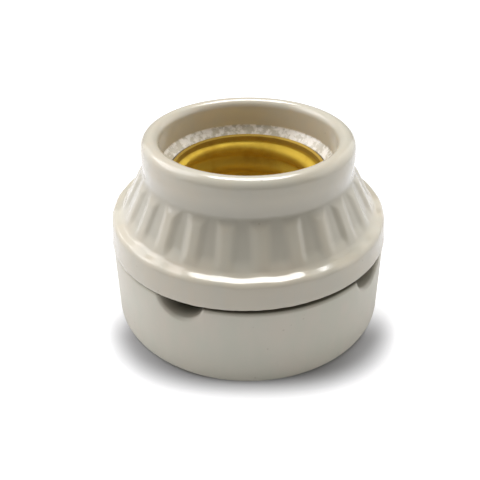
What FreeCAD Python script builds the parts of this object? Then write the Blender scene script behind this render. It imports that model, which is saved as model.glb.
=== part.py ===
import FreeCAD, Part

import math
import os

from FreeCAD import Vector

# Two-piece glazed porcelain lamp holder for an E27 screw lamp, in millimetres.
# Z is the lamp's axis, the base's foot ring stands on z = 0, and the two poles lie at -X and +X.
# Each piece is a separate solid, in the place that it has when the holder is put together.

# ---- porcelain base: a round dish with a foot ring and four wire notches in its rim ----
BASE_H = 14.5             # foot to rim
BASE_WALL = 4.0           # ring wall
WIRING_ROOM = 7.45        # from the cap's cup to the ring wall, where the binding screws stand
FLOOR_TOP = 4.0           # height of the dish's floor
FOOT_WIDTH = 3.7          # ring that the base stands on
FOOT_RECESS = 0.8         # how far the underside lies above the foot
RIM_BEVEL = 0.45          # outer edge of the rim
FOOT_BEVEL = 0.6          # outer edge of the foot
DISH_BEVEL = 0.8          # floor to wall, inside
NOTCH_R = 4.1             # half-round wire notch
NOTCH_RISE = 0.9          # notch centre above the rim
NOTCH_FLARE = 0.7         # how much wider the notch's mouth is
NOTCH_AZIMUTH = 39.3      # from the Y axis, one notch in each quarter
BARRIER_WIDTH = 3.0       # insulating wall between the poles
BARRIER_GAP = 0.3         # barrier to the cap's cup
BARRIER_LAP = 0.4         # how far the barrier runs into the fixing bosses
FIXING_HOLE_R = 2.3       # two holes along Y, for fixing to a surface
FIXING_BOSS_R = 4.3
FIXING_BOSS_H = 0.8       # above the floor
FIXING_GAP = 0.55         # fixing boss to the ring wall

# ---- porcelain cap: flange, fluted cone and collar outside, a cup for the screw shell inside ----
FLANGE_SETBACK = 0.25     # behind the base's side, at the lower edge
FLANGE_BEVEL = 0.35       # lower edge
FLANGE_DRAFT = 0.7        # from the lower edge to the shoulder
SHOULDER_H = 5.5          # flange's lower edge to the shoulder
SHOULDER_ROUND = 1.2
CONE_FOOT_STEP = 1.15     # from the shoulder in to where the fluted cone starts
CONE_FOOT_RISE = 1.25     # above the shoulder
COLLAR_FOOT_DROP = 5.25   # where the cone meets the collar, below the top
COLLAR_FOOT_ROUND = 1.6
COLLAR_WALL = 2.9         # at the top
COLLAR_DRAFT = 0.55       # wider again at its foot
TOTAL_H = 33.2            # foot to the collar's top
LEDGE_WIDTH = 1.3         # sloping ledge between the mouth and the screw shell
MOUTH_DEPTH = 5.1         # straight part of the mouth
COLLAR_OUT_ROUND = 1.5
COLLAR_IN_ROUND = 1.35
LAND_WIDTH = 4.1          # flat ring of the flange that sits on the base's rim
SHOULDER_WALL = 1.4       # over the hollow under the flange
CORE_BEVEL = 0.9
CUP_WALL = 2.45           # round the screw shell
CUP_LOW_WALL = 1.7        # and lower down, round the shell's neck
CUP_STEP_GAP = 0.6        # the step's height above a binding screw that is backed off
CUP_STEP_RISE = 1.8
CUP_DRAFT = 0.4           # smaller again at its bottom
CUP_FLOOR = 2.5           # thickness of the cup's floor
CUP_BEVEL = 0.6
CUP_GAP = 0.9             # under the cup's floor, above the terminal plates
FLUTES = 25
FLUTE_PHASE = 5.1         # azimuth of a rib from -Y towards +X, degrees
FLUTE_TOP_R = 1.8         # radius of the scoop's hollow at the top
FLUTE_FOOT_R = 3.0        # and at the foot
FLUTE_TOP_DEPTH = 0.5
FLUTE_FOOT_DEPTH = 0.6
FLUTE_TOP_DROP = 1.55     # centre of the scoop's arched top, below the collar
FLUTE_FOOT_RISE = 0.75    # step at the scoop's foot, above the cone's foot

# ---- rolled brass screw shell, E27: round thread of 3.629 mm pitch ----
PITCH = 3.629
SHEET = 0.35              # thickness of the rolled sheet
THREAD_MAJOR_R = 13.35    # inside the grooves
THREAD_MINOR_R = 12.25    # inside the ridges
THREAD_HALF_WIDTH = 1.35  # half width of a groove at the minor radius
THREAD_FACETS = 5         # flats that make the groove's round section
THREAD_START_RISE = 1.9   # first groove's centre above the thread's foot
THREAD_END_DROP = 1.32    # last groove's centre below the plain band
SHELL_FIT = 0.15          # shell to the porcelain cup
SHELL_DROP = 1.4          # rim of the shell below the mouth's straight part
BAND_H = 1.1              # plain band at the shell's rim
NECK_R = 11.6             # inside of the narrow bottom
NECK_H = 2.0              # its straight part, above the floor's underside
NECK_SLOPE_H = 1.0
NECK_BEVEL = 0.7           # its lower edge

# ---- island, strip and button of the centre contact ----
ISLAND_MARGIN = 1.2       # raised part of the cup's floor that keys the shell, to the shell's neck
ISLAND_EDGE_X = -3.0
ISLAND_H = 0.6
KEY_GAP = 0.5             # shell floor to the island
CHANNEL_WIDTH = 6.2       # groove that holds the strip
WELL_MARGIN = 0.8         # pit under the button, round it
WELL_SPARE = 1.6          # under the rivet's tail when the button is down
STRIP_T = 0.5
STRIP_WIDTH = 4.6
STRIP_FOOT_R = 2.7        # round end under the cap screw
STRIP_WASHER_GAP = 0.2    # from the cap screw's washer to where the strip starts to rise
STRIP_RAMP = 2.2          # length of the rise
STRIP_RISE = 1.5
STRIP_TIP = 3.2           # free end beyond the axis
STRIP_TIP_DROP = 0.6
STRIP_BEND_R = 0.7
BUTTON_R = 2.8
BUTTON_H = 1.0
BUTTON_RIM = 0.3
RIVET_R = 1.0
RIVET_TAIL_R = 1.7
RIVET_TAIL_H = 0.4
BUTTON_TRAVEL = 1.2       # how far a lamp's tip pushes the button down

# ---- terminals, the same at -X and +X ----
POLE_X = 7.2              # cap screw and pillar from the axis
PAD_H = 1.0               # pad under the plate, above the floor
PAD_MARGIN = 0.3
PLATE_T = 1.0
PLATE_END_R = 3.3         # round end at the pillar
PLATE_END_GAP = 0.55      # square end to the ring wall
PLATE_TIP_HALF_W = 4.2
PLATE_CORNER_R = 1.5
PLATE_BOSS_R = 2.7        # tapped boss pressed out under the binding screw
PLATE_BOSS_H = 1.2
PILLAR_R = 2.6
PILLAR_SPIGOT_R = 2.2     # riveted into the plate
PILLAR_H = 2.1            # above the plate
PILLAR_CLEAR = 0.3        # round the pillar, in the cup's underside

# ---- screws and washers ----
CAP_SCREW_R = 1.75
CAP_SCREW_HEAD_R = 2.7
CAP_SCREW_HEAD_H = 1.7
CAP_SCREW_LENGTH = 5.4
CAP_WASHER_R = 2.8
CAP_WASHER_T = 0.7
CAP_WASHER_SPLIT = 0.5    # cut in the spring washer
BINDING_SCREW_R = 1.75
BINDING_HEAD_R = 2.9
BINDING_HEAD_H = 2.0
BINDING_LENGTH = 3.7
CLAMP_R = 3.2             # dished washer under the binding screw
CLAMP_T = 0.5
CLAMP_DISH = 0.3
CLAMP_GAP = 0.45          # to the ring wall
BINDING_TRAVEL = 2.4      # how far the binding screw is backed off for a wire
PLATE_SCREW_R = 1.4
PLATE_SCREW_HEAD_R = 2.3
PLATE_SCREW_HEAD_H = 0.8
PLATE_WASHER_T = 0.4
SEAL_T = 0.5              # sealing compound over the plate screw
SLOT_W = 0.8              # screwdriver slot
SLOT_DEPTH = 0.9
HEAD_BEVEL = 0.4
TAIL_BEVEL = 0.35
HOLE_CLEAR = 0.3          # round a screw that only passes through
THREAD_FIT = 0.05         # round a screw in its tapped hole
TAIL_ROOM = 0.1           # past a screw's end
SEAT_FIT = 0.03           # round a piece pressed or poured into its hole

# ---- radii that follow, from the screw shell out ----
SHELL_OUT_R = THREAD_MAJOR_R + SHEET
SHELL_BORE_R = SHELL_OUT_R + SHELL_FIT
NECK_OUT_R = NECK_R + SHEET
NECK_BORE_R = NECK_OUT_R + SHELL_FIT
ISLAND_R = NECK_R - ISLAND_MARGIN
MOUTH_R = SHELL_BORE_R + LEDGE_WIDTH
COLLAR_R = MOUTH_R + COLLAR_WALL
COLLAR_FOOT_R = COLLAR_R + COLLAR_DRAFT
CUP_R = SHELL_BORE_R + CUP_WALL
CUP_LOW_R = NECK_BORE_R + CUP_LOW_WALL
BASE_BORE_R = CUP_LOW_R + WIRING_ROOM
BASE_R = BASE_BORE_R + BASE_WALL
FLANGE_R = BASE_R - FLANGE_SETBACK
FLANGE_TOP_R = FLANGE_R - FLANGE_DRAFT
CONE_FOOT_R = FLANGE_TOP_R - CONE_FOOT_STEP
WELL_R = BUTTON_R + WELL_MARGIN
COUNTERBORE_R = PLATE_SCREW_HEAD_R + HOLE_CLEAR

# ---- places along X and Y that follow ----
BINDING_X = BASE_BORE_R - CLAMP_GAP - CLAMP_R
PLATE_SCREW_X = (POLE_X + BINDING_X) / 2
PLATE_TIP_X = BASE_BORE_R - PLATE_END_GAP
FIXING_Y = BASE_BORE_R - FIXING_GAP - FIXING_BOSS_R
BARRIER_END_Y = FIXING_Y - FIXING_BOSS_R + BARRIER_LAP
STRIP_RAMP_START = POLE_X - CAP_WASHER_R - STRIP_WASHER_GAP
STRIP_RAMP_END = STRIP_RAMP_START - STRIP_RAMP

# ---- heights that follow ----
PAD_TOP = FLOOR_TOP + PAD_H
PLATE_TOP = PAD_TOP + PLATE_T
CUP_BOTTOM = PLATE_TOP + CUP_GAP
CUP_FLOOR_Z = CUP_BOTTOM + CUP_FLOOR
SHOULDER_Z = BASE_H + SHOULDER_H
CORE_TOP = SHOULDER_Z - SHOULDER_WALL
CONE_FOOT_Z = SHOULDER_Z + CONE_FOOT_RISE
COLLAR_FOOT_Z = TOTAL_H - COLLAR_FOOT_DROP
FLUTE_TOP_Z = COLLAR_FOOT_Z - FLUTE_TOP_DROP
FLUTE_FOOT_Z = CONE_FOOT_Z + FLUTE_FOOT_RISE
MOUTH_FOOT_Z = TOTAL_H - MOUTH_DEPTH
SHELL_TOP = MOUTH_FOOT_Z - SHELL_DROP
NECK_TOP = CUP_FLOOR_Z + NECK_H
THREAD_FOOT = NECK_TOP + NECK_SLOPE_H
BAND_FOOT = SHELL_TOP - BAND_H
THREAD_START_Z = THREAD_FOOT + THREAD_START_RISE
THREAD_END_Z = BAND_FOOT - THREAD_END_DROP
STRIP_HIGH = CUP_FLOOR_Z + STRIP_RISE
STRIP_TOP = STRIP_HIGH + STRIP_T
WELL_FOOT = STRIP_HIGH - RIVET_TAIL_H - BUTTON_TRAVEL - WELL_SPARE
POCKET_Z = PAD_TOP - PLATE_BOSS_H - TAIL_ROOM
CLAMP_TOP = PLATE_TOP + CLAMP_T + CLAMP_DISH
BINDING_HIGH = CLAMP_TOP + BINDING_HEAD_H + BINDING_TRAVEL
CUP_STEP_Z = BINDING_HIGH + CUP_STEP_GAP
PLATE_SCREW_SEAT = FOOT_RECESS + SEAL_T + PLATE_SCREW_HEAD_H + PLATE_WASHER_T

Z_AXIS = Vector(0, 0, 1)
FAR = 100.0               # longer than any piece
SIDES = {"left": -1, "right": 1}


# ---- helpers ----
def outline(corners):
    """Closed wire in the XZ plane through (x, z, size) corners.

    A positive size rounds the corner by that radius, and a negative one bevels it by that length.
    """
    points = [Vector(x, 0, z) for x, z, _ in corners]
    edges = []
    ends = []
    for i, (_, _, size) in enumerate(corners):
        here = points[i]
        back = (points[i - 1] - here).normalize()
        ahead = (points[(i + 1) % len(points)] - here).normalize()
        half = back.getAngle(ahead) / 2
        reach = size / math.tan(half) if size > 0 else -size
        start = here + back * reach
        end = here + ahead * reach
        if size > 0:
            middle = here + (back + ahead).normalize() * (size / math.sin(half) - size)
            edges.append(Part.Arc(start, middle, end).toShape())
        elif size < 0:
            edges.append(Part.makeLine(start, end))
        ends.append((start, end))
    for i, (_, end) in enumerate(ends):
        start = ends[(i + 1) % len(ends)][0]
        if end.distanceToPoint(start) > 1e-6:
            edges.append(Part.makeLine(end, start))
    return Part.Wire(Part.__sortEdges__(edges))


def revolved(corners):
    """Solid of revolution about Z from (r, z, size) corners."""
    face = Part.Face(outline(corners))
    return face.revolve(Vector(0, 0, 0), Z_AXIS, 360)


def extruded(corners, width):
    """XZ outline extruded along Y, centred on the XZ plane."""
    face = Part.Face(outline(corners))
    return face.extrude(Vector(0, width, 0)).translated(Vector(0, -width / 2, 0))


def disc(radius, low, high, x=0.0, y=0.0):
    """Upright cylinder between two heights."""
    return Part.makeCylinder(radius, high - low, Vector(x, y, low))


def block(x0, x1, y0, y1, z0, z1):
    """Box between two corners."""
    return Part.makeBox(x1 - x0, y1 - y0, z1 - z0, Vector(x0, y0, z0))


def turned_to(shape, azimuth):
    """Shape built toward +X, turned to an azimuth that counts from -Y toward +X."""
    copy = shape.copy()
    copy.rotate(Vector(0, 0, 0), Z_AXIS, azimuth - 90)
    return copy


def on_side(shape, side):
    """Shape built at +X, turned half round for the left pole."""
    copy = shape.copy()
    if SIDES[side] < 0:
        copy.rotate(Vector(0, 0, 0), Z_AXIS, 180)
    return copy


def both_sides(shape):
    """The same shape at both poles."""
    return [on_side(shape, side) for side in SIDES]


def slotted_screw(shank_r, length, head_r, head_h, seat, x):
    """Round-headed slotted screw that points down, its head's underside at seat."""
    body = revolved([
        (0, seat - length, 0),
        (shank_r, seat - length, -TAIL_BEVEL),
        (shank_r, seat, 0),
        (head_r, seat, 0),
        (head_r, seat + head_h, -HEAD_BEVEL),
        (0, seat + head_h, 0),
    ])
    slot = block(-FAR, FAR, -SLOT_W / 2, SLOT_W / 2, seat + head_h - SLOT_DEPTH, seat + FAR)
    return body.cut(slot).translated(Vector(x, 0, 0))


# ---- porcelain base ----
def wire_notch():
    """Half-round channel through the base's wall, toward +X, wider at its mouth."""
    centre_z = BASE_H + NOTCH_RISE
    inner = BASE_BORE_R - BASE_WALL
    axis = Vector(1, 0, 0)
    bore = Part.makeCylinder(NOTCH_R, BASE_R, Vector(inner, 0, centre_z), axis)
    mouth = Part.makeCone(
        NOTCH_R, NOTCH_R + 2 * NOTCH_FLARE, 2 * NOTCH_FLARE,
        Vector(BASE_R - NOTCH_FLARE, 0, centre_z), axis,
    )
    return bore.fuse(mouth)


def base_dish():
    """Ring wall, floor, foot ring and the bevelled edges."""
    return revolved([
        (0, FOOT_RECESS, 0),
        (BASE_R - FOOT_WIDTH, FOOT_RECESS, 0),
        (BASE_R - FOOT_WIDTH, 0, 0),
        (BASE_R, 0, -FOOT_BEVEL),
        (BASE_R, BASE_H, -RIM_BEVEL),
        (BASE_BORE_R, BASE_H, 0),
        (BASE_BORE_R, FLOOR_TOP, -DISH_BEVEL),
        (0, FLOOR_TOP, 0),
    ])


def terminal_pad():
    """Raised bed of the right terminal plate."""
    margin = PAD_MARGIN
    x0 = POLE_X - PLATE_END_R - margin
    half = PLATE_TIP_HALF_W + margin
    pad = block(x0, BASE_BORE_R + BASE_WALL / 2, -half, half, FLOOR_TOP - PAD_H, PAD_TOP)
    return pad.common(disc(BASE_BORE_R + margin, 0, BASE_H))


def terminal_pockets():
    """Room under the right plate for the screws' ends, its boss and its own screw."""
    cap_tail = disc(CAP_SCREW_R + HOLE_CLEAR, PAD_TOP - PLATE_T, PAD_TOP + PLATE_T, POLE_X)
    boss = disc(PLATE_BOSS_R + HOLE_CLEAR, POCKET_Z, PAD_TOP + PLATE_T, BINDING_X)
    tail_end = CLAMP_TOP - BINDING_LENGTH - TAIL_ROOM
    tail = disc(BINDING_SCREW_R + HOLE_CLEAR, tail_end, POCKET_Z + PLATE_T, BINDING_X)
    hole = disc(PLATE_SCREW_R + HOLE_CLEAR, 0, PAD_TOP + PLATE_T, PLATE_SCREW_X)
    counterbore = disc(COUNTERBORE_R, 0, PLATE_SCREW_SEAT, PLATE_SCREW_X)
    return [cap_tail, boss, tail, hole, counterbore]


def make_base():
    base = base_dish()
    added = both_sides(terminal_pad())
    barrier_top = CUP_BOTTOM - BARRIER_GAP
    half_w = BARRIER_WIDTH / 2
    end_y = BARRIER_END_Y
    added.append(block(-half_w, half_w, -end_y, end_y, FOOT_RECESS + PAD_H, barrier_top))
    removed = []
    for direction in (-1, 1):
        y = direction * FIXING_Y
        boss_top = FLOOR_TOP + FIXING_BOSS_H
        added.append(disc(FIXING_BOSS_R, FOOT_RECESS + PAD_H, boss_top, 0, y))
        removed.append(disc(FIXING_HOLE_R, 0, BASE_H, 0, y))
    for pocket in terminal_pockets():
        removed += both_sides(pocket)
    notch = wire_notch()
    for azimuth in (NOTCH_AZIMUTH, -NOTCH_AZIMUTH, 180 - NOTCH_AZIMUTH, 180 + NOTCH_AZIMUTH):
        removed.append(turned_to(notch, azimuth))
    return base.fuse(added).cut(removed).removeSplitter()


# ---- porcelain cap ----
def cap_body():
    """Flange, cone, collar, mouth and cup in one section."""
    land_r = FLANGE_R - LAND_WIDTH
    return revolved([
        (0, CUP_BOTTOM, 0),
        (CUP_LOW_R - CUP_DRAFT, CUP_BOTTOM, -CUP_BEVEL),
        (CUP_LOW_R, CUP_STEP_Z, 0),
        (CUP_R, CUP_STEP_Z + CUP_STEP_RISE, 0),
        (CUP_R, CORE_TOP, -CORE_BEVEL),
        (land_r, CORE_TOP, -CORE_BEVEL),
        (land_r, BASE_H, 0),
        (FLANGE_R, BASE_H, -FLANGE_BEVEL),
        (FLANGE_TOP_R, SHOULDER_Z, SHOULDER_ROUND),
        (CONE_FOOT_R, CONE_FOOT_Z, 0),
        (COLLAR_FOOT_R, COLLAR_FOOT_Z, COLLAR_FOOT_ROUND),
        (COLLAR_R, TOTAL_H, COLLAR_OUT_ROUND),
        (MOUTH_R, TOTAL_H, COLLAR_IN_ROUND),
        (MOUTH_R, MOUTH_FOOT_Z, 0),
        (SHELL_BORE_R, SHELL_TOP, 0),
        (SHELL_BORE_R, THREAD_FOOT, 0),
        (NECK_BORE_R, NECK_TOP, 0),
        (NECK_BORE_R, CUP_FLOOR_Z, -NECK_BEVEL),
        (0, CUP_FLOOR_Z, 0),
    ])


def cone_radius(z):
    """Radius of the cone's face at a height."""
    share = (z - CONE_FOOT_Z) / (COLLAR_FOOT_Z - CONE_FOOT_Z)
    return CONE_FOOT_R + share * (COLLAR_FOOT_R - CONE_FOOT_R)


def flute_cutter():
    """Tapered scoop with a ball end, lying along the cone's face toward +X."""
    along = Vector(CONE_FOOT_R - COLLAR_FOOT_R, 0, CONE_FOOT_Z - COLLAR_FOOT_Z).normalize()
    outward = Vector(-along.z, 0, along.x)
    top = Vector(cone_radius(FLUTE_TOP_Z), 0, FLUTE_TOP_Z)
    foot = Vector(cone_radius(FLUTE_FOOT_Z), 0, FLUTE_FOOT_Z)
    top_centre = top + outward * (FLUTE_TOP_R - FLUTE_TOP_DEPTH)
    foot_centre = foot + outward * (FLUTE_FOOT_R - FLUTE_FOOT_DEPTH)
    axis = foot_centre - top_centre
    taper = Part.makeCone(FLUTE_TOP_R, FLUTE_FOOT_R, axis.Length, top_centre, axis)
    ball = Part.makeSphere(FLUTE_TOP_R, top_centre)
    return taper.fuse(ball)


def floor_island():
    """D-shaped raised part of the cup's floor, split by the strip's channel."""
    top = CUP_FLOOR_Z + ISLAND_H
    island = disc(ISLAND_R, CUP_FLOOR_Z - ISLAND_H, top)
    beyond = block(-FAR, ISLAND_EDGE_X, -FAR, FAR, 0, FAR)
    half = CHANNEL_WIDTH / 2
    channel = block(ISLAND_EDGE_X - half, FAR, -half, half, CUP_FLOOR_Z, FAR)
    return island.cut([beyond, channel])


def make_cap():
    cap = cap_body().fuse(floor_island())
    removed = [disc(WELL_R, WELL_FOOT, COLLAR_FOOT_Z)]
    removed += both_sides(disc(CAP_SCREW_R + HOLE_CLEAR, 0, CUP_FLOOR_Z + PLATE_T, POLE_X))
    socket_top = PLATE_TOP + PILLAR_H + HOLE_CLEAR
    removed += both_sides(disc(PILLAR_R + PILLAR_CLEAR, 0, socket_top, POLE_X))
    cutter = flute_cutter()
    pitch = 360.0 / FLUTES
    for i in range(FLUTES):
        removed.append(turned_to(cutter, FLUTE_PHASE + (i + 0.5) * pitch))
    return cap.cut(removed).removeSplitter()


# ---- rolled screw shell ----
def thread_core(skin):
    """Rod with one round-sectioned helical ridge; skin is added to every radius."""
    minor = THREAD_MINOR_R + skin
    crest = THREAD_MAJOR_R + skin
    half = THREAD_HALF_WIDTH + skin / 2
    depth = crest - minor
    arc_r = (half * half + depth * depth) / (2 * depth)
    swing = math.asin(half / arc_r)
    section = [Vector(minor - depth, 0, -half)]
    for i in range(THREAD_FACETS + 1):
        angle = swing * (2.0 * i / THREAD_FACETS - 1)
        section.append(Vector(crest - arc_r + arc_r * math.cos(angle), 0, arc_r * math.sin(angle)))
    section.append(Vector(minor - depth, 0, half))
    spine = Part.makeLongHelix(PITCH, THREAD_END_Z - THREAD_START_Z, minor)
    sweep = Part.BRepOffsetAPI.MakePipeShell(Part.Wire(spine))
    sweep.setFrenetMode(True)
    sweep.add(Part.makePolygon(section + section[:1]), False, False)
    sweep.build()
    sweep.makeSolid()
    ridge = sweep.shape().translated(Vector(0, 0, THREAD_START_Z))
    return disc(minor, THREAD_FOOT, SHELL_TOP).fuse(ridge)


def shell_plug(skin):
    """Solid shape of the shell's inside, or of its outside when the sheet is added."""
    band = disc(THREAD_MAJOR_R + skin, BAND_FOOT - skin, SHELL_TOP)
    neck = revolved([
        (0, CUP_FLOOR_Z + SHEET - skin, 0),
        (NECK_R + skin, CUP_FLOOR_Z + SHEET - skin, -NECK_BEVEL),
        (NECK_R + skin, NECK_TOP, 0),
        (THREAD_MINOR_R + skin, THREAD_FOOT, 0),
        (0, THREAD_FOOT, 0),
    ])
    return thread_core(skin).fuse([band, neck])


def make_screw_shell():
    shell = shell_plug(SHEET).cut(shell_plug(0))
    top = CUP_FLOOR_Z + SHEET + TAIL_ROOM
    opening = disc(ISLAND_R + KEY_GAP, 0, top)
    beyond = block(-FAR, ISLAND_EDGE_X - KEY_GAP, -FAR, FAR, 0, FAR)
    screw_hole = disc(CAP_SCREW_R + HOLE_CLEAR, 0, top, -POLE_X)
    return shell.cut([opening.cut(beyond), screw_hole])


# ---- centre contact ----
def make_contact_strip():
    """Spring strip: a foot under the cap screw, a ramp, and a flat under the button."""
    low = CUP_FLOOR_Z
    foot_x = POLE_X + STRIP_FOOT_R
    tip_z = STRIP_HIGH - STRIP_TIP_DROP
    tip_x = -STRIP_TIP
    bend = STRIP_BEND_R
    under = bend + STRIP_T
    side = extruded([
        (foot_x, low, 0),
        (STRIP_RAMP_START, low, under),
        (STRIP_RAMP_END, STRIP_HIGH, bend),
        (tip_x + STRIP_TIP_DROP, STRIP_HIGH, bend / 2),
        (tip_x, tip_z, 0),
        (tip_x, tip_z + STRIP_T, 0),
        (tip_x + STRIP_TIP_DROP, STRIP_TOP, under / 2),
        (STRIP_RAMP_END, STRIP_TOP, under),
        (STRIP_RAMP_START, low + STRIP_T, bend),
        (foot_x, low + STRIP_T, 0),
    ], 2 * STRIP_FOOT_R)
    half = STRIP_WIDTH / 2
    plan = disc(STRIP_FOOT_R, 0, TOTAL_H, POLE_X)
    plan = plan.fuse(block(tip_x, POLE_X, -half, half, 0, TOTAL_H))
    screw_hole = disc(CAP_SCREW_R + HOLE_CLEAR, 0, TOTAL_H, POLE_X)
    rivet_hole = disc(RIVET_R + SEAT_FIT, 0, TOTAL_H)
    return side.common(plan).cut([screw_hole, rivet_hole])


def make_contact_button():
    """Domed contact riveted through the strip."""
    rim_top = STRIP_TOP + BUTTON_RIM
    dome_h = BUTTON_H - BUTTON_RIM
    dome_r = (BUTTON_R * BUTTON_R + dome_h * dome_h) / (2 * dome_h)
    dome = Part.makeSphere(dome_r, Vector(0, 0, rim_top + dome_h - dome_r))
    dome = dome.common(disc(BUTTON_R, rim_top, rim_top + BUTTON_H))
    rim = disc(BUTTON_R, STRIP_TOP, rim_top)
    shank = disc(RIVET_R, STRIP_HIGH - RIVET_TAIL_H, rim_top)
    tail = disc(RIVET_TAIL_R, STRIP_HIGH - RIVET_TAIL_H, STRIP_HIGH)
    return dome.fuse([rim, shank, tail]).removeSplitter()


# ---- terminals ----
def make_terminal_plate(side):
    """Flat brass plate with its holes and the tapped boss under the binding screw."""
    half = PLATE_TIP_HALF_W
    plate = disc(PLATE_END_R, PAD_TOP, PLATE_TOP, POLE_X)
    neck = block(POLE_X, PLATE_SCREW_X, -PLATE_END_R, PLATE_END_R, PAD_TOP, PLATE_TOP)
    tip = block(PLATE_SCREW_X - PLATE_CORNER_R, PLATE_TIP_X, -half, half, PAD_TOP, PLATE_TOP)
    corners = [edge for edge in tip.Edges if abs(edge.tangentAt(0).z) > 0.5]
    tip = tip.makeFillet(PLATE_CORNER_R - SEAT_FIT, corners)
    boss = disc(PLATE_BOSS_R, PAD_TOP - PLATE_BOSS_H, PLATE_TOP, BINDING_X)
    plate = plate.fuse([neck, tip, boss]).removeSplitter()
    low = PAD_TOP - PLATE_BOSS_H
    holes = [
        disc(PILLAR_SPIGOT_R + SEAT_FIT, low, PLATE_TOP, POLE_X),
        disc(PLATE_SCREW_R + THREAD_FIT, low, PLATE_TOP, PLATE_SCREW_X),
        disc(BINDING_SCREW_R + THREAD_FIT, low, PLATE_TOP, BINDING_X),
    ]
    return on_side(plate.cut(holes), side)


def make_terminal_pillar(side):
    """Tapped pillar for the cap screw, riveted into the plate."""
    bore = CAP_SCREW_R + THREAD_FIT
    pillar = revolved([
        (bore, PAD_TOP, 0),
        (PILLAR_SPIGOT_R, PAD_TOP, 0),
        (PILLAR_SPIGOT_R, PLATE_TOP, 0),
        (PILLAR_R, PLATE_TOP, 0),
        (PILLAR_R, PLATE_TOP + PILLAR_H, -HOLE_CLEAR),
        (bore, PLATE_TOP + PILLAR_H, 0),
    ])
    return on_side(pillar.translated(Vector(POLE_X, 0, 0)), side)


def make_binding_screw(side):
    screw = slotted_screw(
        BINDING_SCREW_R, BINDING_LENGTH, BINDING_HEAD_R, BINDING_HEAD_H, CLAMP_TOP, BINDING_X,
    )
    return on_side(screw, side)


def make_clamp_washer(side):
    """Dished washer that holds the wire down."""
    bore = BINDING_SCREW_R + THREAD_FIT
    rise = CLAMP_DISH
    washer = revolved([
        (bore, PLATE_TOP + rise, 0),
        (BINDING_HEAD_R * 0.7, PLATE_TOP + rise, 0),
        (CLAMP_R, PLATE_TOP, 0),
        (CLAMP_R, PLATE_TOP + CLAMP_T, 0),
        (BINDING_HEAD_R * 0.7, CLAMP_TOP, 0),
        (bore, CLAMP_TOP, 0),
    ])
    return on_side(washer.translated(Vector(BINDING_X, 0, 0)), side)


# ---- fasteners ----
def cap_screw_seat(side):
    """Top of what the washer lies on: the shell's floor at the left, the strip's foot at the right."""
    thickness = SHEET if side == "left" else STRIP_T
    return CUP_FLOOR_Z + thickness


def make_cap_screws():
    screws = []
    for side in SIDES:
        seat = cap_screw_seat(side) + CAP_WASHER_T
        screw = slotted_screw(
            CAP_SCREW_R, CAP_SCREW_LENGTH, CAP_SCREW_HEAD_R, CAP_SCREW_HEAD_H, seat, POLE_X,
        )
        screws.append(on_side(screw, side))
    return Part.makeCompound(screws)


def make_cap_screw_washers():
    """Split spring washers."""
    washers = []
    for side in SIDES:
        seat = cap_screw_seat(side)
        ring = disc(CAP_WASHER_R, seat, seat + CAP_WASHER_T, POLE_X)
        hole = disc(CAP_SCREW_R + THREAD_FIT, seat, seat + CAP_WASHER_T, POLE_X)
        split = CAP_WASHER_SPLIT / 2
        cut = block(POLE_X - split, POLE_X + split, 0, FAR, 0, FAR)
        washers.append(on_side(ring.cut([hole, cut]), side))
    return Part.makeCompound(washers)


def make_plate_screws():
    """Screws from below that hold the plates, their ends flush with the plates."""
    length = PLATE_TOP - PLATE_SCREW_SEAT + PLATE_WASHER_T
    screw = slotted_screw(
        PLATE_SCREW_R, length, PLATE_SCREW_HEAD_R, PLATE_SCREW_HEAD_H, 0, 0,
    )
    screw.rotate(Vector(0, 0, 0), Vector(1, 0, 0), 180)
    screw.translate(Vector(PLATE_SCREW_X, 0, PLATE_SCREW_SEAT - PLATE_WASHER_T))
    return Part.makeCompound(both_sides(screw))


def make_plate_screw_washers():
    low = PLATE_SCREW_SEAT - PLATE_WASHER_T
    ring = disc(PLATE_SCREW_HEAD_R, low, PLATE_SCREW_SEAT, PLATE_SCREW_X)
    hole = disc(PLATE_SCREW_R + THREAD_FIT, low, PLATE_SCREW_SEAT, PLATE_SCREW_X)
    return Part.makeCompound(both_sides(ring.cut(hole)))


def make_sealing_plugs():
    """Compound poured over the plate screws' heads."""
    plug = disc(COUNTERBORE_R - SEAT_FIT, FOOT_RECESS, FOOT_RECESS + SEAL_T, PLATE_SCREW_X)
    return Part.makeCompound(both_sides(plug))


def make_parts():
    parts = {
        "base": make_base(),
        "cap": make_cap(),
        "screw_shell": make_screw_shell(),
        "contact_strip": make_contact_strip(),
        "contact_button": make_contact_button(),
        "cap_screws": make_cap_screws(),
        "cap_screw_washers": make_cap_screw_washers(),
        "plate_screws": make_plate_screws(),
        "plate_screw_washers": make_plate_screw_washers(),
        "sealing_plugs": make_sealing_plugs(),
    }
    for side in SIDES:
        parts["terminal_plate_" + side] = make_terminal_plate(side)
        parts["terminal_pillar_" + side] = make_terminal_pillar(side)
        parts["binding_screw_" + side] = make_binding_screw(side)
        parts["clamp_washer_" + side] = make_clamp_washer(side)
    return parts


os.makedirs("parts", exist_ok=True)
for name, shape in make_parts().items():
    shape.exportStep(os.path.join("parts", name + ".step"))
    solids = len(shape.Solids)
    print(f"{name}: {solids} solid(s), {shape.Volume:.1f} mm3, valid {shape.isValid()}")
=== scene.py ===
"""Looks of a two-piece glazed porcelain lamp holder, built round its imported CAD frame."""

import logging
import math
from dataclasses import dataclass
from enum import Enum
from typing import Any, Callable, Iterable, Sequence

import bmesh
import bpy
from mathutils import Matrix, Vector, noise

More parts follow.
